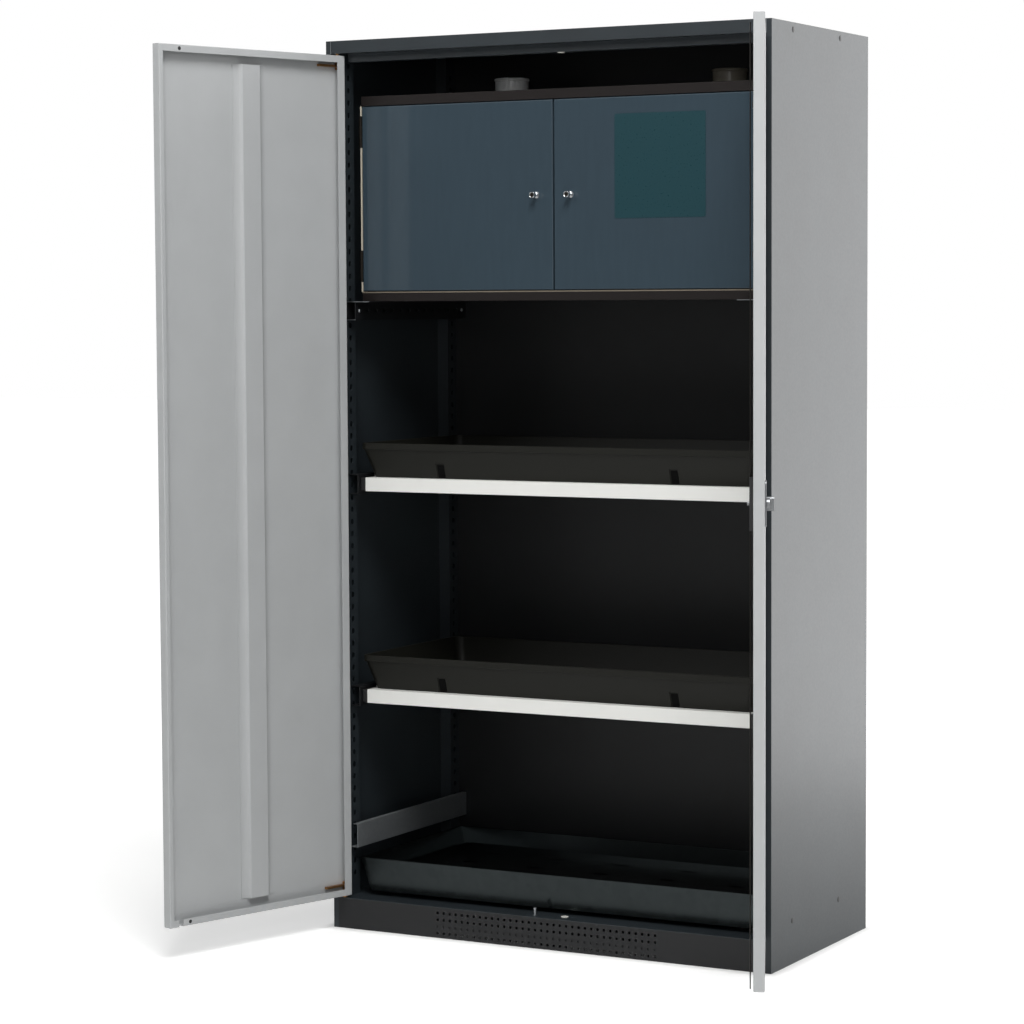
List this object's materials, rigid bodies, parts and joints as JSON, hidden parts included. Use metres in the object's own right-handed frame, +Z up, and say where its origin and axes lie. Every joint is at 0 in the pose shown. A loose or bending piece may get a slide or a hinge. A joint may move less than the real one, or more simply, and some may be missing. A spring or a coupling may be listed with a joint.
{
  "type": "chemical storage cabinet",
  "caption": "Tall two-door sheet steel storage cabinet with a closed safety box, pull-out tubs on telescopic slides and a floor sump, for keeping laboratory chemicals.",
  "frame": {"origin": "on the floor, under the middle of the carcass", "axes": "+Z up, the doors face -Y, +X to the right seen from the front"},
  "size_m": [1.371, 0.9963, 1.95],
  "materials": {
    "carcass_paint": "semi-gloss powder coat",
    "door_paint": "semi-gloss powder coat",
    "foot_plastic": "moulded",
    "cap_plastic": "moulded",
    "bush_plastic": "moulded",
    "glide_rubber": "moulded",
    "zinc_steel": "zinc plated",
    "galvanised_sheet": "galvanised",
    "lever_brass": "plated",
    "lock_chrome": "polished",
    "lock_plastic": "moulded",
    "box_board": "laminated board, dark edge band",
    "box_door_laminate": "semi-gloss laminated board",
    "hinge_steel": "nickel plated",
    "spigot_plastic": "moulded",
    "tub_polymer": "moulded",
    "tray_paint": "semi-gloss powder coat",
    "slide_steel": "black zinc plated",
    "end_cap_plastic": "moulded"
  },
  "bodies": {
    "carcass": {"left_side_panel": "carcass_paint", "right_side_panel": "carcass_paint", "back_panel": "carcass_paint", "top_panel": "carcass_paint", "top_fascia": "carcass_paint", "floor_panel": "carcass_paint", "plinth_front": "carcass_paint", "floor_beam": "carcass_paint", "front_uprights": "carcass_paint", "rear_uprights": "carcass_paint", "box_rails": "carcass_paint", "upper_carriers": "carcass_paint", "lower_carriers": "carcass_paint", "levelling_feet": "foot_plastic", "side_caps": "cap_plastic", "door_bushes": "bush_plastic", "catch_pin": "zinc_steel", "sump": "galvanised_sheet", "sump_glides": "glide_rubber", "sump_stand": "galvanised_sheet", "sump_side_rails": "galvanised_sheet", "box_sides": "box_board", "box_back": "box_board", "box_floor": "box_board", "box_roof": "box_board", "box_hinge_posts": "hinge_steel", "left_spigot": "spigot_plastic", "right_spigot": "spigot_plastic", "upper_outer_slides": "slide_steel", "lower_outer_slides": "slide_steel"},
    "left_door": {"left_door_panel": "door_paint", "left_door_rib": "door_paint", "left_pivot_bolts": "lever_brass"},
    "right_door": {"right_door_panel": "door_paint", "right_door_rib": "door_paint", "right_pivot_bolts": "lever_brass", "handle_plate": "lock_chrome", "lock_case": "lock_plastic", "rod_guides": "lock_plastic"},
    "turn_handle": {"turn_handle": "lock_chrome"},
    "upper_rod": {"upper_lock_rod": "zinc_steel"},
    "lower_rod": {"lower_lock_rod": "zinc_steel"},
    "box_left_door": {"box_left_door": "box_door_laminate", "box_left_hinge_sleeves": "hinge_steel", "box_left_knob": "lock_chrome"},
    "box_right_door": {"box_right_door": "box_door_laminate", "box_right_hinge_sleeves": "hinge_steel", "box_right_knob": "lock_chrome"},
    "upper_tray": {"upper_tub": "tub_polymer", "upper_tray_frame": "tray_paint", "upper_inner_slides": "slide_steel", "upper_end_caps": "end_cap_plastic"},
    "upper_slide": {"upper_middle_slides": "slide_steel"},
    "lower_tray": {"lower_tub": "tub_polymer", "lower_tray_frame": "tray_paint", "lower_inner_slides": "slide_steel", "lower_end_caps": "end_cap_plastic"},
    "lower_slide": {"lower_middle_slides": "slide_steel"}
  },
  "joints": [
    {"name": "left_door_hinge", "type": "hinge", "parent": "carcass", "child": "left_door", "pos_m": [-0.503, -0.2525, 0], "axis": [0, 0, -1], "range_deg": [-107, 8]},
    {"name": "right_door_hinge", "type": "hinge", "parent": "carcass", "child": "right_door", "pos_m": [0.503, -0.2525, 0], "axis": [0, 0, 1], "range_deg": [-113.5, 1.5]},
    {"name": "handle_turn", "type": "hinge", "parent": "right_door", "child": "turn_handle", "pos_m": [0.69001, -0.6826, 1], "axis": [0.9171, 0.3987, 0], "range_deg": [0, 90]},
    {"name": "upper_rod_slide", "type": "slide", "parent": "right_door", "child": "upper_rod", "axis": [0, 0, 1], "range_m": [0, 0.015]},
    {"name": "lower_rod_slide", "type": "slide", "parent": "right_door", "child": "lower_rod", "axis": [0, 0, -1], "range_m": [0, 0.015]},
    {"name": "box_left_hinge", "type": "hinge", "parent": "carcass", "child": "box_left_door", "pos_m": [-0.478, -0.199, 0], "axis": [0, 0, -1], "range_deg": [0, 90]},
    {"name": "box_right_hinge", "type": "hinge", "parent": "carcass", "child": "box_right_door", "pos_m": [0.478, -0.199, 0], "axis": [0, 0, 1], "range_deg": [0, 90]},
    {"name": "upper_tray_slide", "type": "slide", "parent": "carcass", "child": "upper_tray", "axis": [0, -1, 0], "range_m": [0, 0.4]},
    {"name": "upper_slide_run", "type": "slide", "parent": "carcass", "child": "upper_slide", "axis": [0, -1, 0], "range_m": [0, 0.2]},
    {"name": "lower_tray_slide", "type": "slide", "parent": "carcass", "child": "lower_tray", "axis": [0, -1, 0], "range_m": [0, 0.4]},
    {"name": "lower_slide_run", "type": "slide", "parent": "carcass", "child": "lower_slide", "axis": [0, -1, 0], "range_m": [0, 0.2]}
  ],
  "couplings": [
    {"joint": "lower_rod_slide", "follows": "upper_rod_slide", "ratio": 1},
    {"joint": "handle_turn", "follows": "upper_rod_slide", "rad_per_m": 104.72},
    {"joint": "upper_slide_run", "follows": "upper_tray_slide", "ratio": 0.5},
    {"joint": "lower_slide_run", "follows": "lower_tray_slide", "ratio": 0.5}
  ]
}
